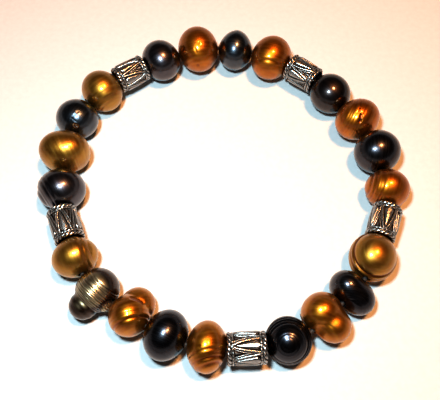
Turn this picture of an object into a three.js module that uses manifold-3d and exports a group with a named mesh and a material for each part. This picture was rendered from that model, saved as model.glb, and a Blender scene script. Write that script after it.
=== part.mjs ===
import * as THREE from 'three';
import { ParametricGeometry } from 'three/addons/geometries/ParametricGeometry.js';
import { mergeVertices } from 'three/addons/utils/BufferGeometryUtils.js';
import Module from 'manifold-3d';

const wasm = await Module();
wasm.setup();

// Stretch bracelet of 21 freshwater pearls and 5 silver tube beads on one closed elastic cord, lying flat.
// Millimetres, +Z up, the surface is at z = 0. Every hole runs level, at the height of the cord.

// Driving dimensions
const PEARL_SIZE = 9; // width of a common pearl, the size that the shares in STRING follow
const CORD_DIAMETER = 0.8;
const CORD_CLEARANCE = 0.32; // free space between the cord and a drilled hole
const BEAD_GAP = 0.3; // free space between neighbours on the cord
const SOLE_DEPTH = 0.25; // how much each pearl's underside is flattened where it rests
const LOBE_BLEND = 0.7; // width of the rounded valley between a pearl and its lobe
const BUD_DROP = 0.6; // how far a bud hangs, as a share of the room under it
const TUBE_LENGTH = 6.2;
const TUBE_DIAMETER = 5.6; // over the rope rims
const TUBE_WALL = 0.7; // silver under the ornament
const RIM_RISE = 0.42; // rope rim above the tube's ground
const RIM_LENGTH = 0.85;
const ROPE_TWIST_DEPTH = 0.14; // valley between two strands of the rope
const WIRE_RISE = 0.27; // zigzag wire above the ground
const LEAF_RISE = 0.34; // fattest part of a leaf above the ground
const MOUTH_FLARE = 0.3; // how far the tube's mouth opens out
const ZIGZAG_PITCH = 2.93; // round the outside of a tube, from one zigzag to the next
const APEX_SHARE = 0.055; // how near two wires come to the middle of their corner, as a share of a zigzag
const WIRE_FOOT = 0.28; // how far a wire's foot spreads, as a share of the way to the next wire

// Counts
const PEARL_SIDES = 14;
const PEARL_BANDS = 9;
const BUD_SIDES = 12;
const CORD_SIDES = 8;
const COLUMNS_PER_ZIGZAG = 8;
const BODY_ROWS = 4;

// Steps of the searches below
const EDGE_STEPS = 6;
const SEARCH_STEPS = 45;
const SETTLING_PASSES = 5;
const WIDEST_SLOT = 3; // longest step along the route, in mean slots

// The string, clockwise from the tube at the upper left. Shares of PEARL_SIZE: thick along the cord, wide
// across it, tall; shift moves the main body outward; lobe is the width of a second rounded mass and lobeAt
// its distance outward, negative towards the wrist; bud and budAt are the same for a small ball grown on the
// outer side. taper narrows the outer side, as on an egg.
const STRING = [
  { kind: 'tube' },
  { kind: 'black', thick: 0.855, wide: 0.98, tall: 0.96 },
  { kind: 'gold', thick: 0.9, wide: 1.1, tall: 1.06 },
  { kind: 'black', thick: 0.78, wide: 0.98, tall: 0.95, taper: 0.14 },
  { kind: 'gold', thick: 0.895, wide: 1.07, tall: 1.02 },
  { kind: 'tube' },
  { kind: 'black', thick: 0.9, wide: 0.9, tall: 0.91 },
  { kind: 'gold', thick: 0.83, wide: 1.02, tall: 1 },
  { kind: 'black', thick: 0.9, wide: 1, tall: 1 },
  { kind: 'gold', thick: 0.81, wide: 0.92, tall: 0.95 },
  { kind: 'tube' },
  { kind: 'gold', thick: 0.93, wide: 0.9, tall: 0.97 },
  { kind: 'black', thick: 0.6, wide: 0.68, tall: 0.84, shift: 0.15, lobe: 0.62, lobeAt: -0.19 },
  { kind: 'gold', thick: 0.775, wide: 0.76, tall: 0.9, shift: -0.13, lobe: 0.68, lobeAt: 0.18 },
  { kind: 'black', thick: 0.8, wide: 0.86, tall: 0.88 },
  { kind: 'tube' },
  { kind: 'gold', thick: 0.715, wide: 0.98, tall: 0.94 },
  { kind: 'black', thick: 0.78, wide: 0.98, tall: 0.95 },
  { kind: 'gold', thick: 0.75, wide: 0.76, tall: 0.9, shift: 0.03, lobe: 0.68, lobeAt: -0.27 },
  { kind: 'black', thick: 0.81, wide: 0.86, tall: 0.9, bud: 0.57, budAt: 0.41 },
  { kind: 'gold', thick: 0.76, wide: 0.97, tall: 0.92 },
  { kind: 'tube' },
  { kind: 'black', thick: 0.86, wide: 1, tall: 0.98 },
  { kind: 'gold', thick: 0.86, wide: 1.15, tall: 1.05 },
  { kind: 'black', thick: 0.85, wide: 0.94, tall: 0.93 },
  { kind: 'gold', thick: 0.85, wide: 0.99, tall: 0.96 },
];

// Route of the string where it lies, clockwise from the first tube's back end: bearing in degrees from +X,
// and distance from the middle as a share of the loop's mean radius.
const ROUTE = [
  [133, 1.024], [121, 1.012], [99, 1.033], [84, 1.018], [69, 0.998], [55, 0.968], [41, 0.967],
  [26, 0.966], [10, 0.985], [-5, 1.003], [-18, 0.966], [-32, 1.0], [-50, 0.996], [-69, 1.03],
  [-94, 1.001], [-107, 0.992], [-120, 0.965], [-134, 0.98], [-148, 0.984], [-161, 0.954],
  [-176, 1.004], [-190, 0.97], [-205, 1.07],
];

// Height of a leaf along the tube, from its round end to its point, as shares of LEAF_RISE
const LEAF_PROFILE = [0.35, 1, 0.8, 0.4, 0.1];

// Sizes that follow
const PEARL_HOLE = CORD_DIAMETER + 2 * CORD_CLEARANCE;
const GROUND_RADIUS = TUBE_DIAMETER / 2 - RIM_RISE;
const BORE_RADIUS = GROUND_RADIUS - TUBE_WALL;
const MOUTH_RADIUS = BORE_RADIUS + MOUTH_FLARE;
const ZIGZAGS = Math.round((Math.PI * TUBE_DIAMETER) / ZIGZAG_PITCH);
const PEARL_ROWS = STRING.filter((bead) => bead.kind !== 'tube');
const CORD_HEIGHT = (PEARL_SIZE / 2) * mean(PEARL_ROWS.map((pearl) => pearl.tall)) - SOLE_DEPTH;

const MATERIALS = {
  gold: new THREE.MeshStandardMaterial({ color: 0x94581f, roughness: 0.28, metalness: 0.75 }),
  black: new THREE.MeshStandardMaterial({ color: 0x1c181d, roughness: 0.22, metalness: 0.6 }),
  tube: new THREE.MeshStandardMaterial({ color: 0x8c837a, roughness: 0.38, metalness: 1 }),
  cord: new THREE.MeshStandardMaterial({ color: 0x151413, roughness: 0.6, metalness: 0 }),
};

const NODE_NAMES = { gold: 'gold_pearl', black: 'black_pearl', tube: 'silver_tube' };

function mean(values) {
  return values.reduce((sum, value) => sum + value, 0) / values.length;
}

// A closed body from a grid that wraps both ways: point(column, row) gives one corner
function wrappedBody(point, columns, rows) {
  const corner = (u, v, target) => {
    const column = Math.round(u * columns) % columns;
    const row = Math.round(v * rows) % rows;
    target.copy(point(column, row));
  };
  const geometry = new ParametricGeometry(corner, columns, rows);
  geometry.deleteAttribute('normal');
  geometry.deleteAttribute('uv');
  const body = mergeVertices(geometry);
  body.computeVertexNormals();
  return body;
}

// Distance along a ray from the hole's middle to an ellipsoid, or 0 where the ray misses it
function rayToEllipsoid(direction, centre, half) {
  const ray = direction.clone().divide(half);
  const start = centre.clone().divide(half);
  const along = ray.dot(start);
  const steep = ray.lengthSq();
  const under = along * along - steep * (start.lengthSq() - 1);
  return under > 0 ? (along + Math.sqrt(under)) / steep : 0;
}

function solidOf(geometry) {
  const vertProperties = Float32Array.from(geometry.attributes.position.array);
  const triVerts = Uint32Array.from(geometry.index.array);
  return new wasm.Manifold(new wasm.Mesh({ numProp: 3, vertProperties, triVerts }));
}

function joined(first, second) {
  const mesh = solidOf(first).add(solidOf(second)).getMesh();
  const geometry = new THREE.BufferGeometry();
  geometry.setAttribute('position', new THREE.BufferAttribute(mesh.vertProperties, 3));
  geometry.setIndex(new THREE.BufferAttribute(mesh.triVerts, 1));
  geometry.computeVertexNormals();
  return geometry;
}

function smoothMax(a, b, width) {
  const near = Math.max(width - Math.abs(a - b), 0) / width;
  return Math.max(a, b) + (near * near * width) / 4;
}

// Distance from the hole's middle to the nacre in a direction: x along the cord, y outward, z up
function nacreRadius(pearl, direction) {
  const { thick, wide, tall, shift = 0, lobe = 0, lobeAt = 0, taper = 0 } = pearl;
  const rise = (tall * PEARL_SIZE) / 2 - SOLE_DEPTH - CORD_HEIGHT;
  const centre = new THREE.Vector3(0, shift * PEARL_SIZE, rise);
  const half = new THREE.Vector3(thick, wide, tall).multiplyScalar(PEARL_SIZE / 2);
  const outerCheek = Math.max(direction.y, 0) * Math.abs(direction.x);
  const body = rayToEllipsoid(direction, centre, half) * (1 - taper * outerCheek);
  if (lobe === 0) return body;
  const lobeCentre = new THREE.Vector3(0, lobeAt * PEARL_SIZE, rise);
  const lobeHalf = new THREE.Vector3(1, 1, 1).multiplyScalar((lobe * PEARL_SIZE) / 2);
  return smoothMax(body, rayToEllipsoid(direction, lobeCentre, lobeHalf), LOBE_BLEND);
}

// Edge of the drilled hole at an angle round it, at the end that `end` names: -1 back, 1 front
function holeEdge(pearl, across, end) {
  const edge = across.clone().multiplyScalar(PEARL_HOLE / 2);
  edge.x = (end * pearl.thick * PEARL_SIZE) / 2;
  for (let step = 0; step < EDGE_STEPS; step += 1) {
    const radius = nacreRadius(pearl, edge.clone().normalize());
    edge.x = end * Math.sqrt(radius * radius - (PEARL_HOLE / 2) ** 2);
  }
  return edge;
}

// The small ball grown on a pearl's outer side, low enough to lie near the surface
function budBody(pearl) {
  const radius = (pearl.bud * PEARL_SIZE) / 2;
  const ball = new THREE.SphereGeometry(radius, BUD_SIDES, BUD_SIDES / 2);
  ball.deleteAttribute('normal');
  ball.deleteAttribute('uv');
  const drop = Math.min(radius, CORD_HEIGHT - radius) * BUD_DROP;
  ball.translate(0, pearl.budAt * PEARL_SIZE, -drop);
  return mergeVertices(ball);
}

// A drilled pearl with a flat sole, its hole's middle at the origin
function pearlBody(pearl) {
  const point = (column, row) => {
    const turn = (column / PEARL_SIDES) * 2 * Math.PI;
    const across = new THREE.Vector3(0, Math.cos(turn), Math.sin(turn));
    let corner;
    if (row === 0 || row === PEARL_BANDS) {
      corner = holeEdge(pearl, across, row === 0 ? -1 : 1);
    } else {
      const slant = (row / PEARL_BANDS) * Math.PI;
      const direction = across.multiplyScalar(Math.sin(slant)).setX(-Math.cos(slant));
      corner = direction.multiplyScalar(nacreRadius(pearl, direction));
    }
    corner.z = Math.max(corner.z, -CORD_HEIGHT);
    return corner;
  };
  const body = wrappedBody(point, PEARL_SIDES, PEARL_BANDS + 1);
  return pearl.bud ? joined(body, budBody(pearl)) : body;
}

// Angle of a column on the tube's body at a share of the way along it. Each zigzag has a rising wire, a leaf,
// a falling wire and the next leaf, with a foot line on both sides of each wire.
function columnAngle(column, share) {
  const period = (2 * Math.PI) / ZIGZAGS;
  const apex = APEX_SHARE * period;
  const swing = period / 2 - 2 * apex;
  const rising = apex + swing * share;
  const falling = period - rising;
  const next = period + rising;
  const place = [
    rising,
    THREE.MathUtils.lerp(rising, falling, WIRE_FOOT),
    period / 2,
    THREE.MathUtils.lerp(falling, rising, WIRE_FOOT),
    falling,
    THREE.MathUtils.lerp(falling, next, WIRE_FOOT),
    period,
    THREE.MathUtils.lerp(next, falling, WIRE_FOOT),
  ];
  const turn = Math.floor(column / COLUMNS_PER_ZIGZAG);
  return turn * period + place[column % COLUMNS_PER_ZIGZAG];
}

// Height above the ground on one column of the body: wires on columns 0 and 4, leaves on 2 and 6
function columnRise(column, row) {
  const place = column % COLUMNS_PER_ZIGZAG;
  if (place === 0 || place === 4) return WIRE_RISE;
  if (place === 2) return LEAF_RISE * LEAF_PROFILE[row];
  if (place === 6) return LEAF_RISE * LEAF_PROFILE[BODY_ROWS - row];
  return 0;
}

// Rings of a tube bead from its back mouth over the outside to its front mouth; the bore closes them
function tubeRings() {
  const columns = ZIGZAGS * COLUMNS_PER_ZIGZAG;
  const even = (column) => (column / columns) * 2 * Math.PI;
  const half = TUBE_LENGTH / 2;
  const rope = (column) => TUBE_DIAMETER / 2 - (column % 2) * ROPE_TWIST_DEPTH;
  const plain = (x, radius) => ({ x, angle: even, radius: () => radius });
  const end = (side) => [
    plain(side * (half - 2 * MOUTH_FLARE), BORE_RADIUS),
    plain(side * half, MOUTH_RADIUS),
    plain(side * half, TUBE_DIAMETER / 2 - RIM_RISE / 2),
    { x: side * (half - RIM_LENGTH / 2), angle: even, radius: rope },
  ];
  const body = [];
  for (let row = 0; row <= BODY_ROWS; row += 1) {
    const share = row / BODY_ROWS;
    body.push({
      x: (2 * share - 1) * (half - RIM_LENGTH),
      angle: (column) => columnAngle(column, share),
      radius: (column) => GROUND_RADIUS + columnRise(column, row),
    });
  }
  return [...end(-1), ...body, ...end(1).reverse()];
}

function tubeBody() {
  const rings = tubeRings();
  const point = (column, row) => {
    const ring = rings[row];
    const angle = ring.angle(column);
    const radius = ring.radius(column);
    return new THREE.Vector3(ring.x, radius * Math.cos(angle), radius * Math.sin(angle));
  };
  return wrappedBody(point, ZIGZAGS * COLUMNS_PER_ZIGZAG, rings.length);
}

// How far a pearl's end dips into a tube's mouth where the string turns between them
function seatDepth(pearl, halfTurn) {
  const width = Math.min(pearl.wide, pearl.tall) * PEARL_SIZE;
  const endRadius = width ** 2 / (2 * pearl.thick * PEARL_SIZE);
  const offCentre = Math.abs((pearl.tall * PEARL_SIZE) / 2 - SOLE_DEPTH - CORD_HEIGHT);
  const lip = Math.max(MOUTH_RADIUS - endRadius * Math.sin(halfTurn) - offCentre, 0);
  return endRadius - Math.sqrt(endRadius ** 2 - lip ** 2);
}

// Length of cord that a bead takes on one side of its middle, up to the bend between it and its neighbour
function slotLength(bead, geometry, neighbour, halfTurn, end) {
  const lean = Math.sin(halfTurn);
  const square = Math.cos(halfTurn);
  if (bead.kind === 'tube') {
    const reach = (TUBE_LENGTH / 2) * square + MOUTH_RADIUS * lean - seatDepth(neighbour, halfTurn);
    return (reach + BEAD_GAP / 2) / square;
  }
  const corners = geometry.attributes.position;
  let reach = 0;
  for (let i = 0; i < corners.count; i += 1) {
    reach = Math.max(reach, end * corners.getX(i) * square - corners.getY(i) * lean);
  }
  return (reach + BEAD_GAP / 2) / square;
}

// Bends of the cord on the route at one loop radius, and how much of the route is left over
function walkRoute(route, slots, radius) {
  const at = (share) => route.getPoint(share % 1).multiplyScalar(radius);
  const bends = [at(0)];
  let share = 0;
  for (const slot of slots) {
    let low = share;
    let high = share + WIDEST_SLOT / slots.length;
    for (let step = 0; step < SEARCH_STEPS; step += 1) {
      const middle = (low + high) / 2;
      if (at(middle).distanceTo(bends.at(-1)) < slot.back + slot.front) low = middle;
      else high = middle;
    }
    share = high;
    bends.push(at(share));
  }
  return { bends, left: 1 - share };
}

// Loop radius at which the beads just fill the route
function fitLoop(route, slots) {
  const roundLoop = slots.reduce((sum, slot) => sum + slot.back + slot.front, 0) / (2 * Math.PI);
  let low = roundLoop / 2;
  let high = roundLoop * 2;
  for (let step = 0; step < SEARCH_STEPS; step += 1) {
    const radius = (low + high) / 2;
    if (walkRoute(route, slots, radius).left < 0) low = radius;
    else high = radius;
  }
  return walkRoute(route, slots, high).bends.slice(0, -1);
}

// Bends, slots and half turns of the string; the slots depend on the turns, so they are found together
function layString(geometries) {
  const points = ROUTE.map(([bearing, share]) => {
    const angle = THREE.MathUtils.degToRad(bearing);
    return new THREE.Vector3(share * Math.cos(angle), share * Math.sin(angle), 0);
  });
  const route = new THREE.CatmullRomCurve3(points, true);
  const count = STRING.length;
  let halfTurns = STRING.map(() => Math.PI / count);
  let slots;
  let bends;
  for (let pass = 0; pass < SETTLING_PASSES; pass += 1) {
    slots = STRING.map((bead, i) => {
      const before = STRING[(i + count - 1) % count];
      const after = STRING[(i + 1) % count];
      return {
        back: slotLength(bead, geometries[i], before, halfTurns[i], -1),
        front: slotLength(bead, geometries[i], after, halfTurns[(i + 1) % count], 1),
      };
    });
    bends = fitLoop(route, slots);
    const chords = bends.map((bend, i) => bends[(i + 1) % count].clone().sub(bend).normalize());
    halfTurns = chords.map((chord, i) => chords.at(i - 1).angleTo(chord) / 2);
  }
  return { bends, slots, halfTurns };
}

// The closed cord: straight through each bead, mitred at each bend
function cordBody(bends, halfTurns) {
  const count = bends.length;
  const point = (column, row) => {
    const before = bends[row].clone().sub(bends.at(row - 1)).normalize();
    const after = bends[(row + 1) % count].clone().sub(bends[row]).normalize();
    const ahead = before.add(after).normalize();
    const outward = new THREE.Vector3(-ahead.y, ahead.x, 0);
    const angle = (column / CORD_SIDES) * 2 * Math.PI;
    const radius = CORD_DIAMETER / 2;
    const corner = outward.multiplyScalar((radius * Math.cos(angle)) / Math.cos(halfTurns[row]));
    corner.z = radius * Math.sin(angle);
    return corner.add(bends[row]);
  };
  return wrappedBody(point, CORD_SIDES, count);
}

function buildBracelet() {
  const bracelet = new THREE.Group();
  const geometries = STRING.map((bead) => (bead.kind === 'tube' ? tubeBody() : pearlBody(bead)));
  const { bends, slots, halfTurns } = layString(geometries);
  const made = { gold: 0, black: 0, tube: 0 };
  STRING.forEach((bead, i) => {
    made[bead.kind] += 1;
    const mesh = new THREE.Mesh(geometries[i], MATERIALS[bead.kind]);
    mesh.name = `${NODE_NAMES[bead.kind]}_${made[bead.kind]}`;
    const chord = bends[(i + 1) % bends.length].clone().sub(bends[i]).normalize();
    mesh.position.copy(bends[i]).addScaledVector(chord, slots[i].back).setZ(CORD_HEIGHT);
    mesh.rotation.z = Math.atan2(chord.y, chord.x);
    bracelet.add(mesh);
  });
  const cord = new THREE.Mesh(cordBody(bends, halfTurns), MATERIALS.cord);
  cord.name = 'elastic_cord';
  cord.position.z = CORD_HEIGHT;
  bracelet.add(cord);
  return bracelet;
}

// The bracelet stands on z = 0 with the middle of its outline over the origin
const bracelet = buildBracelet();
const outline = new THREE.Box3().setFromObject(bracelet, true).getCenter(new THREE.Vector3());
bracelet.position.set(-outline.x, -outline.y, 0);

export default bracelet;
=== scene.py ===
"""Pearl bracelet: dyed freshwater pearls and oxidised silver tube beads strung on a closed elastic cord."""
import math

import bpy
import numpy as np
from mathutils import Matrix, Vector


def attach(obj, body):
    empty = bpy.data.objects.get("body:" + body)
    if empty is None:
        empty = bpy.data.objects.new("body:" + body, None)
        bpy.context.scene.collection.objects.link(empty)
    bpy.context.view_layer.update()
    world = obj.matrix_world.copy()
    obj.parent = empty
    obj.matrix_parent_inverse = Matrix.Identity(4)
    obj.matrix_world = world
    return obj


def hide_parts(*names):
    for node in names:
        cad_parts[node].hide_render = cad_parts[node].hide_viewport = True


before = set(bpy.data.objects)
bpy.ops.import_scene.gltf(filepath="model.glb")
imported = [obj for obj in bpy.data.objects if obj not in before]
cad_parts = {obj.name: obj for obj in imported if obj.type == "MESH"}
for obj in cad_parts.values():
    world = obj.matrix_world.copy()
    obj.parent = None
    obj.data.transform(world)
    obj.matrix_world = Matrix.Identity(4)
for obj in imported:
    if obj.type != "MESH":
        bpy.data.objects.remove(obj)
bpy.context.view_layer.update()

MM = 0.001

# Camera: where the photo was taken from, over the near side of the ring
CAMERA_PLACE = Vector((-0.26, -50.03, 97.41)) * MM
CAMERA_ELEVATION = math.radians(64)
FOCAL_PIXELS = 560
PHOTO_WIDTH = 440
SENSOR_WIDTH = 36
FILM_GAMMA = 0.78  # under 1 for deeper blacks and richer colours

# Pearls, mm
HOLE_RADIUS = 0.72
HOLE_LIP = 0.12  # how far the edge of the hole is drawn in along it
HOLE_INSET = 0.93  # width of the hole behind its edge, as a share
HOLE_PAINTED_SHADE = 0.1  # groove depth whose colour the hole takes, as painted shade inside the hole
END_SWELL = 0.22  # how much longer than its solid a bead is, both ends together
FACET_ALLOWANCE = 1.013  # width of a round form over that of its faceted solid
FLOOR_CLEARANCE = 0.01
PAINTED_SHADE_NACRE = 0.3  # groove depth whose colour the side of a pearl away from its lit place takes, as painted shade
PAINTED_SHADE_EASE = 0.5  # over what share of its reach that painted shade sets in
PEARL_ROWS = 80
PEARL_COLUMNS = 112
ROW_FINENESS = 0.85  # power by which a finer pearl gains rows

NEARLY_ALONG = (1, 0, 0.001)  # along the string, but never in line with a growth axis

# Uneven swelling of the pearls
SWELL_WAVES = 7
SWELL_PITCHES = (0.7, 1.5)
SWELL_PHASES = 6.28  # nearly a full turn
SWELL_DIVISOR = 4  # brings the sum of the waves to about -1 to 1
LUMPS = 0.022  # height of the lumps of a pearl whose row gives none, mm
LUMP_PITCH = 2.4

# Growth rings
RING_WANDER = 0.02  # how far a ring strays along the growth axis
RING_WANDER_PITCH = 3
RING_FADE = 0.25  # how much the depth of a ring changes on its way round
RING_FADE_PITCH = 3.5
RING_SHIFT = 0.22  # how far a ring may lie from its even place, in spacings
RING_REACHES = (0.22, 0.34)  # half width of a ring, in spacings
RING_DEPTHS = (0.5, 1.15)  # depth of a ring, as a share of the depth in its row
SWOLLEN_EDGE = 0.1  # stretch of the growth axis over which a swollen part rises

# Raised lip round a pit or scratch
LIP_SHARE = 0.4  # its height, as a share of the pit's depth
LIP_DEEPEST = 0.12  # depth of pit from which the lip gets no higher, mm
LIP_PLACE = 1.25  # distance from the pit's middle, as a share of its reach
LIP_WIDTH = 0.3

# Seeds apart from the pearl's own
WANDER_SEED = 50
FADE_SEED = 90
RING_SEED = 7

TINY = 1e-6

# Tube beads, mm
TUBE_COUNT = 5
ROPE_RADIUS = 0.42
ROPE_STRANDS = 16
ROPE_SLANT = 2.2  # how far a strand runs round the tube for each turn round the rope, in strands
ROPE_VALLEY = 0.5  # depth between strands, as a share of the rope's radius
ROPE_REACH = 0.1  # how far the ropes stand out past the tube's ends
ROPE_ARC = (165, -75)  # degrees round the rope, from the body to the inside of the mouth
ROPE_UNEVEN = 0.13  # how much thinner a rope gets on its way round, as a share
ROPE_UNEVEN_WAVES = 2.5
STRAND_POWER = 0.55  # under 1 for plump strands
MOUTH_DEPTH = 3 * ROPE_RADIUS  # from the tube's end to where the bore is straight
MOUTH_SHINE = 0.5  # polish of the bore
ROPE_END_LIGHTNESS = 0.75  # how light a rope is painted where it faces out at the tube's end; as painted shade it grows lighter over its top and darker as it turns into the mouth
MOUTH_SHADE_FADE = 0.5
MOUTH_SHADE_DARKEST = 0.25
COLLAR_RADIUS = 0.16
COLLAR_GRAINS = 22
COLLAR_LIFT = 0.14  # foot that a collar stands on
COLLAR_BASE = 0.45  # height between two grains, as a share of the collar's
COLLAR_GRAIN_RISE = 0.55
GRAIN_POWER = 0.6
WIRE_RADIUS = 0.18
WIRE_LIFT = 0.12
WIRE_BOW = 0.62  # power of the petals' outline, 1 for straight wires and less for rounder petals
VEIN_RADIUS = 0.08  # thin wire beside each thick one, in the slots between the petals
VEIN_LIFT = 0.12
VEIN_OFFSET = 0.36
BELLY = 0.1  # how much thicker the tube is at its middle
RIM_RISE = 0.42
LEAF_RISE = 0.42
LEAF_WIDTH = 0.97  # of the room between the wires
PETAL_ROUND_END = 0.14  # share of the petal's length that its round end takes
PETAL_TIP = 0.92  # share of the way along at which the petal's point ends
PETAL_FLATNESS = 4  # power of the petal's cross-section
PETAL_SLOPE = 0.35  # how much lower the petal is at its point, as a share
PETAL_POLISH = 0.78
POLISHED_FROM = 0.3  # share of a petal's height above which it is polished
SLOT_LEAF_SHARE = 0.2  # height of the small leaf in each slot, as a share of a petal's
SLOT_LEAF_TIP = 0.96
SLOT_LEAST = 0.05  # narrowest slot that holds a leaf
WAVERS = ((0.015, 5), (0.01, 11))  # unsteadiness of wires and collars: how far, and waves round the tube
DENT_DEPTH = 0.012
TUBE_PHASES = 6  # most of a turn
RELIEF_BLUR = (5, 6)  # rows and columns over which height is averaged to tell raised from hollow
RELIEF_CONTRAST = 0.08  # height above the average at which silver is fully polished
TUBE_WALL = 0.7
ZIGZAGS = 6
APEX_SHARE = 0.055  # half the angle between two wires where they are nearest, as a share of a zigzag
BODY_ROWS = 100
ROPE_ROWS = 20
TUBE_COLUMNS = 288

# Elastic, mm
CORD_RADIUS = 0.4
CORD_SHOWN_RADIUS = CORD_RADIUS * 0.97
CORD_SIDES = 14
CORD_STEP = 0.25
BEND_SLACK = 0.4  # how far beyond the cord's width the corners of one bend may spread
KNOT_PLACE = (12.9, -28.0, 4.0)  # the bend nearest this hides the knot
KNOT_END_REACH = (-1.5, 1.9, 1.6)  # how far the elastic's cut end stands out from the knot
KNOT_END_CURL = (-0.3, 0.7, 0.5)
KNOT_END_RADIUS = 0.13
KNOT_END_TAPER = 0.8
KNOT_END_TAPER_POWER = 6
KNOT_END_TRAVEL = 4  # its length, for the ribs of the material

# Nacre: body, deep and pale colours, metallic, roughness, coat roughness, coat weight
TONES = {
    "olive": ((0.41, 0.200, 0.028), (0.19, 0.052, 0.006), (0.60, 0.40, 0.09), 0.97, 0.38, 0.14, 0.45),
    "amber": ((0.44, 0.160, 0.010), (0.20, 0.036, 0.002), (0.64, 0.34, 0.05), 0.97, 0.37, 0.14, 0.45),
    "copper": ((0.44, 0.132, 0.007), (0.17, 0.030, 0.002), (0.64, 0.30, 0.04), 0.97, 0.37, 0.14, 0.45),
    "ink": ((0.082, 0.070, 0.076), (0.030, 0.022, 0.026), (0.12, 0.11, 0.13), 1.0, 0.30, 0.12, 0.7),
    "slate": ((0.066, 0.076, 0.090), (0.022, 0.024, 0.030), (0.13, 0.15, 0.18), 1.0, 0.30, 0.12, 0.7),
    "jet": ((0.048, 0.045, 0.052), (0.018, 0.014, 0.017), (0.09, 0.085, 0.10), 1.0, 0.27, 0.12, 0.45),
    "coal": ((0.036, 0.036, 0.044), (0.014, 0.012, 0.015), (0.08, 0.08, 0.095), 1.0, 0.25, 0.16, 0.35),
    "umber": ((0.036, 0.028, 0.028), (0.014, 0.009, 0.009), (0.07, 0.055, 0.05), 1.0, 0.33, 0.10, 0.7),
    "bronze": ((0.40, 0.33, 0.20), (0.030, 0.010, 0.006), (0.66, 0.58, 0.38), 0.97, 0.34, 0.14, 0.6),
}

# Finishes: base colours, and how much each pattern of a finish adds
TARNISH = (0.016, 0.012, 0.010)
WARM_TARNISH = (0.22, 0.15, 0.10)
POLISHED_SILVER = (0.46, 0.46, 0.45)
ELASTIC_GROOVE = (0.012, 0.011, 0.010)
ELASTIC_RIB = (0.05, 0.045, 0.04)
NACRE_COAT_IOR = 1.56
NACRE_BANDING = 0.6
CLOUD_DEPTH = 0.55
BAND_PALENESS = 0.5
SPECK_HEIGHT = 0.25
HEIGHT_SHINE = 0.25  # how much more polished the silver is at its highest
SHIFT_STEPS = (1.7, 0.9, 2.3)  # how far the nacre's pattern moves from one pearl to the next

# Floor in metres, room and lamps. A lamp has its place in mm, width in metres, power in watts and colour.
FLOOR_RADIUS = 0.26
FLOOR_SIDES = 96
FLOOR_GREYS = ((0.60, 0.60, 0.60), (0.64, 0.64, 0.64))
ROOM_BAND = (0.60, 0.54, 0.50)
ROOM_ABOVE = (0.012, 0.009, 0.008)
ROOM_SEEN = (0.93, 0.93, 0.92)
BAND_TOP = (0.28, 0.33)  # sine of the height at which the band starts to end, and has ended
LAMPS = {
    "cool_lamp": ((-19.7, -27.6, 128.0), 0.016, 0.265, (0.66, 0.90, 1.0)),
    "warm_lamp": ((72.3, 15.9, 320.7), 0.05, 1.30, (1.0, 0.45, 0.16)),
}
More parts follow.
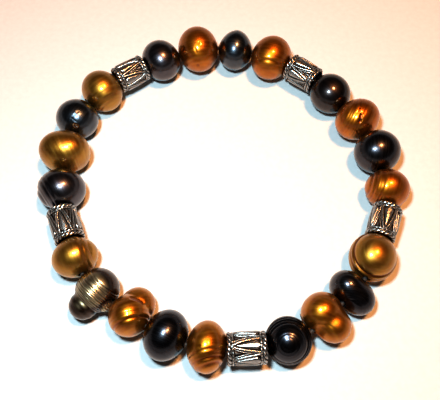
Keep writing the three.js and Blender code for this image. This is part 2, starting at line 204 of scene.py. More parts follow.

# Growth of each pearl. Places are seen from the camera, as shares of the pearl's radius (right, up) from its
# middle, and the growth axis runs from -1 to 1.
# tone: its row in TONES.
# body, lobe: rounded masses, from 0 at the inner side to 1 at the outer side of the ring.
# lobe_drop: how much lower than the body the lobe lies, mm. valley: over how many mm the two run together.
# egg: how much its outer cheeks narrow. square: how much the corners of its cross-section fill out.
# lumps: height of its uneven swelling, mm.
# grows: where the growth axis comes out. Without it the axis points outward from the ring.
# rings: grooves round that axis, from, to, how many, depth in mm.
# steps: how far the nacre drops behind each ring, as a share of the radius.
# swollen: how much thicker the nacre is behind the end of the first row of rings, mm.
# marks: pits and scratches from one place to another, reach and depth in mm. A depth below 0 is a bump.
# dark: a place and the distance from it, as a share of the radius, beyond which the nacre is painted dark, as
# painted shade away from its lit part.
# fine: how much finer than the others its mesh is.
PEARLS = {
    "black_pearl_1": {"tone": "ink", "rings": [(-0.7, 0.7, 4, 0.006)]},
    "gold_pearl_1": {
        "tone": "copper", "lumps": 0.035,
        "grows": (0.1, -0.9), "rings": [(-0.5, 0.2, 4, 0.02), (0.45, 0.9, 3, 0.035)],
        "marks": [((-0.04, -0.58), (-0.04, -0.58), 0.36, 0.14), ((-0.72, 0.06), (-0.66, 0.16), 0.4, 0.1),
                  ((0.0, 0.3), (0.06, 0.34), 0.24, 0.05), ((-0.12, 0.1), (-0.08, -0.04), 0.22, 0.05)],
    },
    "black_pearl_2": {"tone": "slate", "rings": [(-0.2, 0.7, 3, 0.008)], "egg": 0.11},
    "gold_pearl_2": {
        "tone": "copper", "grows": (-0.1, -0.9), "rings": [(0.42, 0.62, 1, 0.13), (-0.7, 0.3, 5, 0.012)],
    },
    "black_pearl_3": {"tone": "umber", "rings": []},
    "gold_pearl_3": {
        "tone": "copper", "grows": (-0.98, 0.1), "rings": [(-0.1, 0.75, 6, 0.06)], "fine": 1.4,
        "marks": [((-0.06, 0.55), (0.06, 0.3), 0.16, 0.08), ((0.1, 0.26), (0.11, 0.2), 0.3, 0.2),
                  ((0.14, 0.06), (0.14, 0.0), 0.32, 0.22), ((0.38, 0.7), (0.56, -0.1), 0.16, 0.07),
                  ((0.2, -0.46), (0.24, -0.5), 0.24, 0.07)],
    },
    "black_pearl_4": {"tone": "jet", "grows": (-0.9, -0.3), "rings": [(0.2, 0.8, 4, 0.012)]},
    "gold_pearl_4": {
        "tone": "copper", "grows": (-0.95, -0.2), "rings": [(0.34, 0.9, 4, 0.18), (-0.5, 0.2, 3, 0.012)],
    },
    "gold_pearl_5": {"tone": "olive", "grows": (0.1, 0.5), "rings": [(-0.5, 0.4, 4, 0.42)], "swollen": 0.16},
    "black_pearl_5": {
        "tone": "jet", "body": (0, 0.72), "lobe": (0.36, 1), "lobe_drop": 0.35, "valley": 2.2,
        "grows": (0.45, -0.75), "rings": [(0.55, 0.9, 3, 0.05)],
    },
    "gold_pearl_6": {
        "tone": "amber", "body": (0, 0.74), "lobe": (0.34, 1), "valley": 0.6, "grows": (0.3, -0.85),
        "rings": [(0.62, 0.95, 2, 0.09)], "lumps": 0.06,
    },
    "black_pearl_6": {
        "tone": "coal", "grows": (0.1, -0.18), "rings": [(-0.3, 0.56, 5, 0.36), (0.64, 0.98, 5, 0.035)],
        "swollen": 0.16, "fine": 1.4,
    },
    "gold_pearl_7": {
        "tone": "amber", "grows": (0.06, -0.93), "rings": [(0.38, 0.95, 4, 0.24)],
        "marks": [((-0.62, 0.5), (-0.6, 0.5), 0.22, 0.05), ((-0.4, 0.1), (-0.3, 0.06), 0.22, 0.06)],
    },
    "black_pearl_7": {"tone": "coal", "rings": []},
    "gold_pearl_8": {
        "tone": "amber", "body": (0.21, 1), "lobe": (0, 0.667), "lobe_drop": 0.7, "valley": 0.25,
        "grows": (-0.25, -0.9), "rings": [(0.14, 0.6, 2, 0.17)], "lumps": 0.02, "fine": 1.2,
        "marks": [((0.5, 0.62), (0.8, 0.2), 0.5, 0.16)],
    },
    "black_pearl_8": {
        "tone": "bronze", "body": (0, 0.764), "lobe": (0.46, 0.966), "lobe_drop": 0.6, "valley": 0.12,
        "grows": (0.96, 0.22), "rings": [(-0.95, 0.5, 15, 0.17)], "fine": 2.4, "dark": ((-0.35, 0.25), 0.72),
        "marks": [((-0.14, -0.9), (-0.04, -0.9), 1.0, -0.45)],
    },
    "gold_pearl_9": {"tone": "olive", "rings": [(-0.8, -0.3, 2, 0.2)], "steps": 0.05},
    "black_pearl_9": {"tone": "ink", "grows": (-1.0, 0.0), "rings": [(0.34, 0.96, 4, 0.17)]},
    "gold_pearl_10": {
        "tone": "olive", "body": (0.03, 0.97), "square": 0.05,
        "grows": (1.0, 0.0), "rings": [(-0.5, 0.5, 10, 0.055)],
    },
    "black_pearl_10": {
        "tone": "slate", "grows": (0.6, -0.7), "rings": [(-0.1, 0.4, 2, 0.02)],
        "marks": [((-0.34, 0.06), (-0.02, 0.26), 0.2, 0.03), ((-0.26, 0.16), (-0.1, -0.1), 0.2, 0.03),
                  ((-0.2, -0.24), (-0.16, -0.3), 0.34, 0.09), ((0.06, 0.3), (0.2, 0.32), 0.2, 0.03)],
    },
    "gold_pearl_11": {"tone": "olive", "grows": (0.3, -0.88), "rings": [(0.3, 0.85, 4, 0.07)]},
}


def unit(vectors):
    return vectors / np.linalg.norm(vectors, axis=-1, keepdims=True)


def cord_bends():
    """Middle of the cord at each of its bends, clockwise seen from above, in mm."""
    corners = np.array([v.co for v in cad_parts["elastic_cord"].data.vertices]) / MM
    left = np.unique(np.round(corners, 4), axis=0)
    bends = []
    while len(left):
        near = np.linalg.norm(left - left[0], axis=1) < 2 * CORD_RADIUS + BEND_SLACK
        bends.append(left[near].mean(axis=0))
        left = left[~near]
    return np.array(sorted(bends, key=lambda bend: -math.atan2(bend[1], bend[0])))


def bead_seats(bends):
    """For each bead: its hole's middle, its own axes (along, outward, up) and its size along them, in mm."""
    ahead = np.roll(bends, -1, axis=0)
    middles = (bends + ahead) / 2
    seats = {}
    for name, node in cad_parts.items():
        if name == "elastic_cord":
            continue
        corners = np.array([v.co for v in node.data.vertices]) / MM
        near = np.linalg.norm(middles - corners.mean(axis=0), axis=1).argmin()
        along = unit(ahead[near] - bends[near])
        axes = np.array([along, [-along[1], along[0], 0], [0, 0, 1]])
        local = (corners - bends[near]) @ axes.T
        low, high = local.min(axis=0), local.max(axis=0)
        middle = bends[near] + along * (low[0] + high[0]) / 2
        low[0], high[0] = (low[0] - high[0]) / 2, (high[0] - low[0]) / 2
        seats[name] = {"middle": middle, "axes": axes, "low": low, "high": high}
    return seats


def swell(directions, seed, pitch):
    """Smooth uneven field over directions, about -1 to 1, the same each run."""
    waves = np.random.default_rng(seed)
    total = np.zeros(len(directions))
    for _ in range(SWELL_WAVES):
        heading = unit(waves.normal(size=3))
        along = pitch * waves.uniform(*SWELL_PITCHES) * directions @ heading
        total += np.sin(along + waves.uniform(0, SWELL_PHASES))
    return total / SWELL_DIVISOR


def ray_to_ellipsoid(directions, centre, half):
    """Distance from the origin to the far side of an ellipsoid along each direction, 0 where it is missed."""
    ray = directions / half
    start = centre / half
    along = ray @ start
    steep = (ray ** 2).sum(axis=1)
    under = along ** 2 - steep * (start @ start - 1)
    return np.where(under > 0, (along + np.sqrt(np.maximum(under, 0))) / steep, 0)


def smooth_max(a, b, width):
    """The greater of two distances, eased where they are nearer to each other than a width."""
    near = np.maximum(width - np.abs(a - b), 0) / width
    return np.maximum(a, b) + near ** 2 * width / 4


def seen_place(seat, place):
    """Direction, in the bead's own axes, of a place that the camera sees at (right, up) from its middle."""
    toward_camera = unit(np.array(CAMERA_PLACE) / MM - seat["middle"])
    right = unit(np.cross([0, 0, 1], toward_camera))
    up = np.cross(toward_camera, right)
    across, above = place
    facing = math.sqrt(max(1 - across ** 2 - above ** 2, 0))
    return unit(seat["axes"] @ (across * right + above * up + facing * toward_camera))


def smooth_step(distance, reach):
    """0 up to a reach and 1 from half as far again, eased between them."""
    share = np.clip((distance / reach - 1) / PAINTED_SHADE_EASE, 0, 1)
    return share * share * (3 - 2 * share)


def growth_axes(seat, growth):
    """Growth axis and two axes across it, in the bead's own axes."""
    axis = seen_place(seat, growth["grows"]) if "grows" in growth else np.array([0, 1, 0])
    side = unit(np.cross(axis, NEARLY_ALONG))
    return np.array([axis, side, np.cross(axis, side)])


def bare_radius(directions, seat, growth):
    """Distance from the hole's middle to the pearl's rounded masses, before anything grows on them."""
    low, high = seat["low"], seat["high"]
    floor = -seat["middle"][2]
    half_thick = (high[0] * 2 * FACET_ALLOWANCE + END_SWELL) / 2
    half_tall = (high[2] - floor) / 2
    rise = (high[2] + floor) / 2
    width = high[1] - low[1]

    def mass(span, thick, tall, drop):
        centre = np.array([0, low[1] + width * sum(span) / 2, rise - drop])
        half = np.array([thick, width * (span[1] - span[0]) / 2 * FACET_ALLOWANCE, tall])
        return ray_to_ellipsoid(directions, centre, half)

    radius = mass(growth.get("body", (0, 1)), half_thick, half_tall, 0)
    if "lobe" in growth:
        span = growth["lobe"]
        round_half = width * (span[1] - span[0]) / 2
        lobe = mass(span, round_half, round_half, growth.get("lobe_drop", 0))
        radius = smooth_max(radius, lobe, growth["valley"])
    cheek = np.maximum(directions[:, 1], 0) * np.abs(directions[:, 0])
    corner = (2 * directions[:, 1] * directions[:, 2]) ** 2
    return radius * (1 - growth.get("egg", 0) * cheek + growth.get("square", 0) * corner)


def cut_rings(hollow, lift, directions, radius, seat, growth, seed):
    """Add growth rings: grooves round the growth axis, steps down behind them and a swollen part."""
    latitude = directions @ growth_axes(seat, growth)[0]
    latitude = latitude + RING_WANDER * swell(directions, seed + WANDER_SEED, RING_WANDER_PITCH)
    fade = 1 - RING_FADE + RING_FADE * swell(directions, seed + FADE_SEED, RING_FADE_PITCH)
    jitter = np.random.default_rng(seed + RING_SEED)
    for start, stop, count, depth in growth["rings"]:
        spacing = (stop - start) / count
        for ring in range(count):
            place = start + spacing * (ring + 0.5 + jitter.uniform(-RING_SHIFT, RING_SHIFT))
            reach = spacing * jitter.uniform(*RING_REACHES)
            deepest = depth * jitter.uniform(*RING_DEPTHS) * fade
            hollow += deepest * np.exp(-(((latitude - place) / reach) ** 2))
            lift -= growth.get("steps", 0) * radius * np.clip((place - latitude) / reach, 0, 1)
    if "swollen" in growth:
        first_end = growth["rings"][0][1]
        lift += growth["swollen"] * np.clip((first_end - latitude) / SWOLLEN_EDGE, 0, 1)


def cut_marks(hollow, lift, directions, radius, seat, growth):
    """Add pits, scratches and bumps, with a lip round each."""
    for start, stop, reach, depth in growth.get("marks", ()):
        first, last = seen_place(seat, start), seen_place(seat, stop)
        stretch = last - first
        share = np.clip((directions - first) @ stretch / max(stretch @ stretch, TINY), 0, 1)[:, None]
        away = np.linalg.norm(directions - first - share * stretch, axis=1) * radius / reach
        hollow += depth * np.exp(-(away ** 4))
        lift += LIP_SHARE * min(depth, LIP_DEEPEST) * np.exp(-(((away - LIP_PLACE) / LIP_WIDTH) ** 2))


def nacre_radius(directions, seat, growth, seed):
    """Distance from the hole's middle to the nacre, and how deep in a groove or pit each place is, with the
    painted shade of a dark side added; the material paints this depth as shade.
    """
    radius = bare_radius(directions, seat, growth)
    lift = swell(directions, seed, LUMP_PITCH) * growth.get("lumps", LUMPS)
    hollow = np.zeros(len(directions))
    cut_rings(hollow, lift, directions, radius, seat, growth, seed)
    cut_marks(hollow, lift, directions, radius, seat, growth)
    nacre = radius + lift - hollow
    # Painted shade: nacre away from the lit place is coloured darker
    if "dark" in growth:
        place, reach = growth["dark"]
        away = np.linalg.norm(directions - seen_place(seat, place), axis=1)
        hollow = hollow + PAINTED_SHADE_NACRE * smooth_step(away, reach)
    return nacre, hollow


def grid_faces(rows, columns):
    """Quads of a grid that closes on itself both ways."""
    row, column = np.meshgrid(np.arange(rows), np.arange(columns), indexing="ij")
    below, beside = (row + 1) % rows, (column + 1) % columns
    corners = (
        row * columns + column, row * columns + beside, below * columns + beside, below * columns + column,
    )
    return np.stack(corners, axis=-1).reshape(-1, 4)


def grid_piece(name, points, rows, columns, values, material):
    """Mesh piece from a closed grid of points in mm, with named values at each point for its material."""
    mesh = bpy.data.meshes.new(name)
    mesh.from_pydata((points * MM).tolist(), [], grid_faces(rows, columns).tolist())
    for label, field in values.items():
        kind = "FLOAT_VECTOR" if field.ndim == 2 else "FLOAT"
        slot_name = "vector" if field.ndim == 2 else "value"
        layer = mesh.attributes.new(label, kind, "POINT")
        layer.data.foreach_set(slot_name, field.astype(np.float32).ravel())
    mesh.shade_smooth()
    mesh.materials.append(material)
    piece = bpy.data.objects.new(name, mesh)
    bpy.context.collection.objects.link(piece)
    return piece


def seat_piece(piece, node):
    """Put a piece in the place of a solid."""
    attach(piece, "root")
    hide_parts(node)


def make_pearl(name, seat, growth, seed):
    """A drilled pearl on its seat, grown by its row of the table."""
    fine = growth.get("fine", 1)
    rows, columns = int(PEARL_ROWS * fine ** ROW_FINENESS), int(PEARL_COLUMNS * fine)
    first = math.asin(HOLE_RADIUS / (seat["high"][0] + END_SWELL / 2))
    slant = np.linspace(first, math.pi - first, rows)[:, None]
    turn = np.arange(columns)[None, :] / columns * 2 * math.pi
    directions = np.stack(
        [-np.cos(slant) + 0 * turn, np.sin(slant) * np.cos(turn), np.sin(slant) * np.sin(turn)], axis=-1
    ).reshape(-1, 3)
    radius, hollow = nacre_radius(directions, seat, growth, seed)
    outside = (directions * radius[:, None]).reshape(rows, columns, 3)
    bore = []
    for edge, inward in ((outside[-1], -HOLE_LIP), (outside[0], HOLE_LIP)):
        ring = edge * [1, HOLE_INSET, HOLE_INSET]
        ring[:, 0] += inward
        bore.append(ring)
    local = np.concatenate([outside, bore]).reshape(-1, 3)
    grown = np.concatenate([directions, unit(local[-2 * columns:])]) @ growth_axes(seat, growth).T
    # hollow carries the depth that the material paints as shade
    depth = np.concatenate([hollow, np.full(2 * columns, HOLE_PAINTED_SHADE)])
    points = local @ seat["axes"] + seat["middle"]
    points[:, 2] = np.maximum(points[:, 2], FLOOR_CLEARANCE)
    values = {"growth": grown, "hollow": depth}
    material = nacre_material(name, growth["tone"], seed)
    piece = grid_piece(f"{name}_nacre", points, rows + 2, columns, values, material)
    seat_piece(piece, name)


def rib(distance, radius):
    """Height of a round rib at a distance from its middle line."""
    return np.sqrt(np.maximum(radius ** 2 - distance ** 2, 0))


def blurred(field, reach_rows, reach_columns):
    """A field averaged along the tube and round it."""
    total = np.zeros_like(field)
    for shift in range(-reach_columns, reach_columns + 1):
        total += np.roll(field, shift, axis=1)
    field = total / (2 * reach_columns + 1)
    padded = np.pad(field, ((reach_rows, reach_rows), (0, 0)), mode="edge")
    return sum(padded[k:k + len(field)] for k in range(2 * reach_rows + 1)) / (2 * reach_rows + 1)


def ripples(angle, x, round_waves, along_waves, phase=0):
    return np.sin(round_waves * angle + along_waves * x + phase)


def body_relief(x, angle, body_half, ground, hand):
    """Ornament between the ropes: its height, the tube's belly, and where the smooth petals are."""
    waver = sum(reach * np.sin(waves * angle + hand.uniform(0, TUBE_PHASES)) for reach, waves in WAVERS)
    petal_half = body_half - 2 * COLLAR_RADIUS
    share = np.clip((x + petal_half) / (2 * petal_half), 0, 1)
    inside = np.abs(x) < petal_half
    period = 2 * math.pi / ZIGZAGS
    apex = APEX_SHARE * period
    swing = period / 2 - 2 * apex
    slope = math.cos(math.atan(swing * ground / (2 * petal_half)))
    place = np.mod(angle + waver, period)
    opening = swing * (1 - share) ** WIRE_BOW  # half the angle between the wires of a petal
    from_petal = np.abs(place - period / 2)
    from_slot = period / 2 - from_petal
    from_wire = (from_petal - opening - apex) * ground * slope
    wire = rib(from_wire, WIRE_RADIUS)
    vein = rib(from_wire - VEIN_OFFSET, VEIN_RADIUS)
    relief = np.maximum(wire + WIRE_LIFT * (wire > 0), vein + VEIN_LIFT * (vein > 0)) * inside

    petal_width = np.maximum(opening * ground - WIRE_RADIUS, TINY) * LEAF_WIDTH
    round_end = np.sqrt(np.clip(share / PETAL_ROUND_END, 0, 1)) * (share < PETAL_TIP)
    from_middle = from_petal * ground / (petal_width * np.maximum(round_end, TINY))
    profile = np.sqrt(np.clip(1 - from_middle ** PETAL_FLATNESS, 0, 1))
    petal = LEAF_RISE * (1 - PETAL_SLOPE * share) * profile * inside
    slot_opening = (period / 2 - apex - opening) * ground - WIRE_RADIUS - VEIN_OFFSET - VEIN_RADIUS
    slot_width = np.maximum(slot_opening * LEAF_WIDTH, TINY)
    slot_profile = np.sqrt(np.clip(1 - (from_slot * ground / slot_width) ** 2, 0, 1))
    room = inside * (slot_opening > SLOT_LEAST) * (share < SLOT_LEAF_TIP)
    small_leaf = LEAF_RISE * SLOT_LEAF_SHARE * slot_profile * room
    relief = np.maximum.reduce([relief, petal, small_leaf])

    for side in (-1, 1):
        from_collar = side * x - (body_half - COLLAR_RADIUS) - waver
        grains = np.abs(np.cos(COLLAR_GRAINS * angle / 2 + side)) ** GRAIN_POWER
        collar = rib(from_collar, COLLAR_RADIUS) * (COLLAR_BASE + COLLAR_GRAIN_RISE * grains)
        relief = np.maximum(relief, collar + COLLAR_LIFT * (collar > 0))
    dents = DENT_DEPTH * ripples(angle, x, round_waves=23, along_waves=9)
    dents = dents * ripples(angle, x, round_waves=4, along_waves=31, phase=hand.uniform(0, TUBE_PHASES))
    belly = BELLY * (1 - (x / body_half) ** 2)
    return relief + dents, belly, petal > POLISHED_FROM * LEAF_RISE


def rope_rows(side, half, outer, angle, hand):
    """Rows of one twisted rope rim, from the body over the top and round the end into the mouth."""
    around = np.radians(np.linspace(*ROPE_ARC, ROPE_ROWS))[:, None]
    phase = (ROPE_STRANDS * angle + ROPE_SLANT * around * side) / 2 + hand.uniform(0, TUBE_PHASES / 2)
    crest = np.abs(np.cos(phase)) ** STRAND_POWER
    uneven = 1 - ROPE_UNEVEN * np.sin(ROPE_UNEVEN_WAVES * angle + hand.uniform(0, TUBE_PHASES)) ** 2
    radius = ROPE_RADIUS * (1 - ROPE_VALLEY * (1 - crest)) * uneven
    x = side * (half + ROPE_REACH - ROPE_RADIUS + radius * np.cos(around))
    r = outer - ROPE_RADIUS + radius * np.sin(around)
    # Painted shade: the rope's silver is painted lighter over its top and darker as it turns into the mouth
    facing = np.clip(ROPE_END_LIGHTNESS + MOUTH_SHADE_FADE * np.sin(around), MOUTH_SHADE_DARKEST, 1)
    return x, r, crest * facing


def make_tube(name, seat, material, seed):
    """A hollow silver tube bead on its seat, ornamented all round."""
    hand = np.random.default_rng(seed)
    half, outer = seat["high"][0] + END_SWELL / 2, seat["high"][2]
    ground = outer - RIM_RISE
    bore = ground - TUBE_WALL
    body_half = half + ROPE_REACH - 2 * ROPE_RADIUS
    angle = np.arange(TUBE_COLUMNS)[None, :] / TUBE_COLUMNS * 2 * math.pi
    x = np.linspace(-body_half, body_half, BODY_ROWS)[:, None]
    relief, belly, on_petal = body_relief(x, angle, body_half, ground, hand)
    above_average = np.clip((relief - blurred(relief, *RELIEF_BLUR)) / RELIEF_CONTRAST, -1, 1)
    raised = (above_average + 1) / 2
    raised = np.where(on_petal, np.maximum(raised, PETAL_POLISH), raised)
    height = np.clip(relief / RIM_RISE, 0, 1)
    sections = [(np.broadcast_to(x, relief.shape), ground + relief + belly, raised, height)]
    for side in (1, -1):
        rope_x, rope_r, crest = rope_rows(side, half, outer, angle, hand)
        bore_x = np.full((1, TUBE_COLUMNS), side * (half - MOUTH_DEPTH))
        bore_r = np.full((1, TUBE_COLUMNS), bore)
        dull = np.full((1, TUBE_COLUMNS), MOUTH_SHINE)
        parts = [(rope_x, rope_r, crest, crest), (bore_x, bore_r, dull, dull)]
        if side == -1:
            parts = [tuple(field[::-1] for field in part) for part in reversed(parts)]
        sections.extend(parts)
    x_all, r_all, raised_all, height_all = (np.concatenate(fields) for fields in zip(*sections))
    turn = np.broadcast_to(angle, r_all.shape)
    local = np.stack([x_all, r_all * np.cos(turn), r_all * np.sin(turn)], axis=-1).reshape(-1, 3)
    points = local @ seat["axes"] + seat["middle"]
    values = {"raised": raised_all.ravel(), "height": height_all.ravel(), "growth": local / outer}
    piece = grid_piece(f"{name}_silver", points, len(r_all), TUBE_COLUMNS, values, material)
    seat_piece(piece, name)


def elastic_piece(name, rings, travel, turn, material):
    """A piece of the elastic from its rings of points, with the way along it and the angle round it."""
    spin = np.tile(turn, len(rings))
    values = {"growth": np.stack([np.repeat(travel, CORD_SIDES), np.cos(spin), np.sin(spin)], axis=1)}
    piece = grid_piece(name, rings.reshape(-1, 3), len(rings), CORD_SIDES, values, material)
    seat_piece(piece, "elastic_cord")


def make_cord(bends, material):
    """The closed elastic: straight through each bead, eased round each bend."""
    ahead = np.roll(bends, -1, axis=0)
    stations = []
    for start, stop in zip(bends, ahead):
        count = int(np.linalg.norm(stop - start) / CORD_STEP)
        stations.extend(start + (stop - start) * k / count for k in range(count))
    line = np.array(stations)
    line = (np.roll(line, 1, axis=0) + 2 * line + np.roll(line, -1, axis=0)) / 4
    along = unit(np.roll(line, -1, axis=0) - np.roll(line, 1, axis=0))
    outward = np.stack([-along[:, 1], along[:, 0], np.zeros(len(line))], axis=1)
    turn = np.arange(CORD_SIDES) / CORD_SIDES * 2 * math.pi
    sideways = outward[:, None] * np.cos(turn)[None, :, None]
    upward = np.array([0, 0, 1]) * np.sin(turn)[None, :, None]
    rings = line[:, None] + CORD_SHOWN_RADIUS * (sideways + upward)
    elastic_piece("elastic", rings, np.arange(len(line)) * CORD_STEP, turn, material)


def make_knot_end(bends, material):
    """The cut end of the elastic, standing up from the knot between two pearls."""
    start = bends[np.linalg.norm(bends - np.array(KNOT_PLACE), axis=1).argmin()]
    share = np.linspace(0, 1, CORD_SIDES)[:, None]
    line = start + share * np.array(KNOT_END_REACH) + share ** 3 * np.array(KNOT_END_CURL)
    turn = np.arange(CORD_SIDES) / CORD_SIDES * 2 * math.pi
    ring = np.stack([np.cos(turn), np.sin(turn), 0 * turn], axis=1)
    radius = KNOT_END_RADIUS * (1 - KNOT_END_TAPER * share ** KNOT_END_TAPER_POWER)
    rings = line[:, None] + radius[:, :, None] * ring[None]
    elastic_piece("elastic_end", rings, share[:, 0] * KNOT_END_TRAVEL, turn, material)


# Materials

def add_node(tree, kind, settings=None, **inputs):
    """A shader node with its settings, and values or links for its inputs, by name or by number as in i0."""
    node = tree.nodes.new(kind)
    for key, value in (settings or {}).items():
        setattr(node, key, value)
    for key, value in inputs.items():
        by_number = key[0] == "i" and key[1:].isdigit()
        socket = node.inputs[int(key[1:])] if by_number else node.inputs[key.replace("_", " ")]
        if isinstance(value, bpy.types.NodeSocket):
            tree.links.new(value, socket)
        else:
            socket.default_value = value
    return node


def colour(values):
    """A base colour with the opacity that colour sockets want."""
    return (*values, 1.0)


def remap(tree, value, low, high, to_low=0.0, to_high=1.0):
    """A value moved from one range to another and kept inside it."""
    node = add_node(tree, "ShaderNodeMapRange", None, Value=value, From_Min=low, From_Max=high, To_Min=to_low,
                    To_Max=to_high)
    return node.outputs["Result"]


def maths(tree, operation, first, second):
    return add_node(tree, "ShaderNodeMath", {"operation": operation}, i0=first, i1=second).outputs[0]


def blend_colours(tree, share, first, second):
    """The first colour where the share is 0, the second where it is 1."""
    return add_node(tree, "ShaderNodeMix", {"data_type": "RGBA"}, i0=share, i6=first, i7=second).outputs[2]


def new_group(name, inputs, outputs):
    """An empty node group with its sockets, and the nodes at its two ends."""
    group = bpy.data.node_groups.new(name, "ShaderNodeTree")
    for label, kind in inputs:
        group.interface.new_socket(label, in_out="INPUT", socket_type=kind)
    for label, kind in outputs:
        group.interface.new_socket(label, in_out="OUTPUT", socket_type=kind)
    return group, group.nodes.new("NodeGroupInput"), group.nodes.new("NodeGroupOutput")


def scaled(tree, vector, scale):
    node = add_node(tree, "ShaderNodeVectorMath", {"operation": "MULTIPLY"}, i0=vector, i1=scale)
    return node.outputs[0]


def noise(tree, vector, scale, detail=2.0, roughness=0.5, distortion=0.0):
    node = add_node(tree, "ShaderNodeTexNoise", None, Vector=vector, Scale=scale, Detail=detail,
                    Roughness=roughness, Distortion=distortion)
    return node.outputs[0]


def nacre_group():
    """Layered nacre: cloudy body, growth bands round the growth axis, painted shade in grooves, pits and the
    hole, tiny specks.
    """
    group, given, made = new_group(
        "Layered nacre",
        [("Growth", "NodeSocketVector"), ("Painted shade depth", "NodeSocketFloat"), ("Body", "NodeSocketColor"),
         ("Deep", "NodeSocketColor"), ("Pale", "NodeSocketColor"), ("Shift", "NodeSocketVector"),
         ("Banding", "NodeSocketFloat"), ("Gloss", "NodeSocketFloat")],
        [("Colour", "NodeSocketColor"), ("Roughness", "NodeSocketFloat"), ("Height", "NodeSocketFloat")],
    )
    moved = add_node(group, "ShaderNodeVectorMath", {"operation": "ADD"},
                     i0=given.outputs["Growth"], i1=given.outputs["Shift"]).outputs[0]
    cloud = noise(group, moved, scale=1.7, detail=3.0, roughness=0.55)
    bands = noise(group, scaled(group, moved, (9.0, 0.7, 0.7)), scale=1.0, detail=3.0, roughness=0.6)
    lines = noise(group, scaled(group, moved, (46.0, 1.6, 1.6)), scale=1.0, detail=2.0, roughness=0.6)
    specks = noise(group, moved, scale=34.0, detail=2.0, roughness=0.6)
    cloudy = remap(group, cloud, low=0.36, high=0.68)
    banded = maths(group, "MULTIPLY", remap(group, bands, low=0.35, high=0.7), given.outputs["Banding"])
    clouded = maths(group, "MULTIPLY", cloudy, CLOUD_DEPTH)
    shade = blend_colours(group, clouded, given.outputs["Body"], given.outputs["Deep"])
    paler = maths(group, "MULTIPLY", banded, BAND_PALENESS)
    shade = blend_colours(group, paler, shade, given.outputs["Pale"])
    # Painted shade: the deeper a groove, pit or the hole, the more its colour goes to the deep colour
    painted_shade_share = remap(group, given.outputs["Painted shade depth"], low=0.01, high=0.22, to_high=0.95)
    shade = blend_colours(group, painted_shade_share, shade, given.outputs["Deep"])
    dusty = remap(group, specks, low=0.70, high=0.78, to_high=0.5)
    shade = blend_colours(group, dusty, shade, given.outputs["Pale"])
    duller_bands = remap(group, bands, low=0.3, high=0.7, to_low=-0.03, to_high=0.05)
    rough = maths(group, "ADD", given.outputs["Gloss"], duller_bands)
    rough = maths(group, "ADD", rough, remap(group, specks, low=0.6, high=0.8, to_high=0.08))
    fine = maths(group, "MULTIPLY", lines, given.outputs["Banding"])
    height = maths(group, "ADD", fine, maths(group, "MULTIPLY", specks, SPECK_HEIGHT))
    for label, value in (("Colour", shade), ("Roughness", rough), ("Height", height)):
        group.links.new(value, made.inputs[label])
    return group


def silver_group():
    """Oxidised silver: polished where it is raised, dark in the recesses, with scratches and worn patches."""
    group, given, made = new_group(
        "Oxidised silver",
        [("Place", "NodeSocketVector"), ("Raised", "NodeSocketFloat"), ("Height", "NodeSocketFloat")],
        [("Colour", "NodeSocketColor"), ("Roughness", "NodeSocketFloat"), ("Bump", "NodeSocketFloat")],
    )
    patches = noise(group, given.outputs["Place"], scale=3.2, detail=4.0, roughness=0.6)
    grain = noise(group, given.outputs["Place"], scale=26.0, detail=3.0, roughness=0.65)
    shine = maths(group, "MULTIPLY", given.outputs["Height"], HEIGHT_SHINE)
    lit = maths(group, "ADD", given.outputs["Raised"], shine)
    lit = maths(group, "ADD", lit, remap(group, patches, low=0.3, high=0.7, to_low=-0.16, to_high=0.16))
    polish = remap(group, lit, low=0.56, high=1.12)
    shade = blend_colours(group, polish, colour(TARNISH), colour(POLISHED_SILVER))
    warm = remap(group, patches, low=0.45, high=0.75, to_high=0.35)
    shade = blend_colours(group, warm, shade, colour(WARM_TARNISH))
    rough = remap(group, polish, low=0.0, high=1.0, to_low=0.55, to_high=0.24)
    rough = maths(group, "ADD", rough, remap(group, grain, low=0.3, high=0.7, to_low=-0.05, to_high=0.08))
    for label, value in (("Colour", shade), ("Roughness", rough), ("Bump", grain)):
        group.links.new(value, made.inputs[label])
    return group


def new_material(name):
    """A material, its node tree and its shader."""
    material = bpy.data.materials.new(name)
    material.use_nodes = True
    tree = material.node_tree
    return material, tree, tree.nodes["Principled BSDF"]


def surface_value(tree, label, output):
    return add_node(tree, "ShaderNodeAttribute", {"attribute_name": label}).outputs[output]


def set_bump(tree, shader, height, strength, distance):
    bump = add_node(tree, "ShaderNodeBump", None, Height=height, Strength=strength, Distance=distance)
    tree.links.new(bump.outputs["Normal"], shader.inputs["Normal"])


def nacre_material(name, tone, seed):
    """Nacre of one pearl: a tone of the table, with a pattern of its own."""
    body, deep, pale, metallic, gloss, coat, coat_weight = TONES[tone]
    material, tree, shader = new_material(f"{name} nacre")
    layers = add_node(tree, "ShaderNodeGroup", {"node_tree": NACRE})
    tree.links.new(surface_value(tree, "growth", "Vector"), layers.inputs["Growth"])
    tree.links.new(surface_value(tree, "hollow", "Fac"), layers.inputs["Painted shade depth"])
    layers.inputs["Body"].default_value = colour(body)
    layers.inputs["Deep"].default_value = colour(deep)
    layers.inputs["Pale"].default_value = colour(pale)
    layers.inputs["Shift"].default_value = [seed * step for step in SHIFT_STEPS]
    layers.inputs["Banding"].default_value = NACRE_BANDING
    layers.inputs["Gloss"].default_value = gloss
    tree.links.new(layers.outputs["Colour"], shader.inputs["Base Color"])
    tree.links.new(layers.outputs["Roughness"], shader.inputs["Roughness"])
    shader.inputs["Metallic"].default_value = metallic
    shader.inputs["Coat Weight"].default_value = coat_weight
    shader.inputs["Coat Roughness"].default_value = coat
    shader.inputs["Coat IOR"].default_value = NACRE_COAT_IOR
    set_bump(tree, shader, layers.outputs["Height"], strength=0.25, distance=0.00006)
    return material


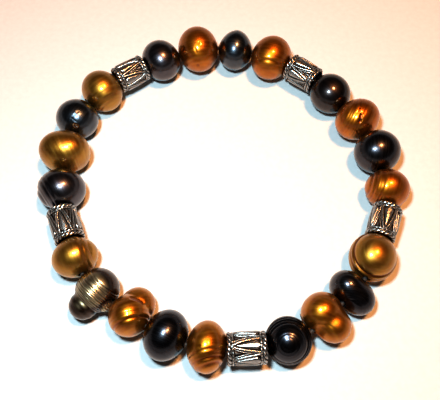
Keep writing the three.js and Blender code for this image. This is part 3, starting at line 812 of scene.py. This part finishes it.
def silver_material():
    """Silver of the tube beads, placed by what each point of the mesh knows of its height."""
    material, tree, shader = new_material("Oxidised silver")
    layers = add_node(tree, "ShaderNodeGroup", {"node_tree": silver_group()})
    tree.links.new(surface_value(tree, "growth", "Vector"), layers.inputs["Place"])
    tree.links.new(surface_value(tree, "raised", "Fac"), layers.inputs["Raised"])
    tree.links.new(surface_value(tree, "height", "Fac"), layers.inputs["Height"])
    tree.links.new(layers.outputs["Colour"], shader.inputs["Base Color"])
    tree.links.new(layers.outputs["Roughness"], shader.inputs["Roughness"])
    shader.inputs["Metallic"].default_value = 1.0
    set_bump(tree, shader, layers.outputs["Bump"], strength=0.35, distance=0.00005)
    return material


def elastic_material():
    """Black elastic with fine ribs across it."""
    material, tree, shader = new_material("Elastic cord")
    place = surface_value(tree, "growth", "Vector")
    fuzz = noise(tree, scaled(tree, place, (14.0, 2.0, 2.0)), scale=1.0, detail=3.0, roughness=0.6)
    ribs = remap(tree, fuzz, low=0.3, high=0.7)
    shade = blend_colours(tree, ribs, colour(ELASTIC_GROOVE), colour(ELASTIC_RIB))
    tree.links.new(shade, shader.inputs["Base Color"])
    rough = remap(tree, fuzz, low=0.3, high=0.7, to_low=0.5, to_high=0.7)
    tree.links.new(rough, shader.inputs["Roughness"])
    set_bump(tree, shader, fuzz, strength=0.6, distance=0.00008)
    return material


def floor_material():
    """Matt pale floor with a very faint grain."""
    material, tree, shader = new_material("Pale floor")
    place = add_node(tree, "ShaderNodeTexCoord").outputs["Object"]
    grain = noise(tree, place, scale=900.0, detail=3.0, roughness=0.6)
    dark, light = (colour(grey) for grey in FLOOR_GREYS)
    shade = blend_colours(tree, remap(tree, grain, low=0.3, high=0.7), dark, light)
    tree.links.new(shade, shader.inputs["Base Color"])
    shader.inputs["Roughness"].default_value = 0.75
    shader.inputs["Specular IOR Level"].default_value = 0.2
    return material


# Floor, lights and camera

def lay_floor():
    """A round pale floor under the ring."""
    turn = [2 * math.pi * k / FLOOR_SIDES for k in range(FLOOR_SIDES)]
    rim = [(FLOOR_RADIUS * math.cos(angle), FLOOR_RADIUS * math.sin(angle), 0) for angle in turn]
    mesh = bpy.data.meshes.new("floor")
    mesh.from_pydata(rim, [], [list(range(FLOOR_SIDES))])
    mesh.materials.append(floor_material())
    floor = bpy.data.objects.new("floor", mesh)
    bpy.context.collection.objects.link(floor)


def hang_lamp(name, place, size, power, tint):
    """A round lamp facing the middle of the ring."""
    lamp = bpy.data.lights.new(name, "AREA")
    lamp.shape = "DISK"
    lamp.size = size
    lamp.energy = power
    lamp.color = tint
    light = bpy.data.objects.new(name, lamp)
    light.location = Vector(place) * MM
    light.rotation_euler = light.location.to_track_quat("Z", "Y").to_euler()
    light.visible_camera = False
    bpy.context.collection.objects.link(light)


def fill_room():
    """A dark room with a pale band low down for reflections, pale behind the floor's edge."""
    world = bpy.data.worlds.new("Room")
    bpy.context.scene.world = world
    world.use_nodes = True
    tree = world.node_tree
    tree.nodes.clear()
    heading = add_node(tree, "ShaderNodeTexCoord").outputs["Generated"]
    upward = add_node(tree, "ShaderNodeSeparateXYZ", None, Vector=heading).outputs["Z"]
    band_start, band_end = BAND_TOP
    height = remap(tree, upward, band_start, band_end)
    shade = blend_colours(tree, height, colour(ROOM_BAND), colour(ROOM_ABOVE))
    room = add_node(tree, "ShaderNodeBackground", None, Color=shade, Strength=1.0)
    pale = add_node(tree, "ShaderNodeBackground", None, Color=colour(ROOM_SEEN), Strength=1.0)
    seen = add_node(tree, "ShaderNodeLightPath").outputs["Is Camera Ray"]
    mix = add_node(tree, "ShaderNodeMixShader", None, Fac=seen)
    tree.links.new(room.outputs[0], mix.inputs[1])
    tree.links.new(pale.outputs[0], mix.inputs[2])
    output = tree.nodes.new("ShaderNodeOutputWorld")
    tree.links.new(mix.outputs[0], output.inputs["Surface"])


def place_camera():
    """The camera, level from side to side and looking down at the ring."""
    lens = bpy.data.cameras.new("camera")
    lens.sensor_width = SENSOR_WIDTH
    lens.lens = FOCAL_PIXELS / PHOTO_WIDTH * SENSOR_WIDTH
    lens.clip_start = 5 * MM
    camera = bpy.data.objects.new("camera", lens)
    camera.location = CAMERA_PLACE
    camera.rotation_euler = (math.pi / 2 - CAMERA_ELEVATION, 0, 0)
    bpy.context.collection.objects.link(camera)
    bpy.context.scene.camera = camera


NACRE = nacre_group()
place_camera()
fill_room()
lay_floor()
for lamp_name, (place, width, power, tint) in LAMPS.items():
    hang_lamp(lamp_name, place, width, power, tint)
bpy.context.scene.view_settings.view_transform = "Standard"
bpy.context.scene.view_settings.gamma = FILM_GAMMA

bends = cord_bends()
seats = bead_seats(bends)
silver = silver_material()
for seed, (pearl_name, growth) in enumerate(PEARLS.items(), start=1):
    make_pearl(pearl_name, seats[pearl_name], growth, seed)
for seed in range(1, TUBE_COUNT + 1):
    make_tube(f"silver_tube_{seed}", seats[f"silver_tube_{seed}"], silver, seed)
elastic = elastic_material()
make_cord(bends, elastic)
make_knot_end(bends, elastic)
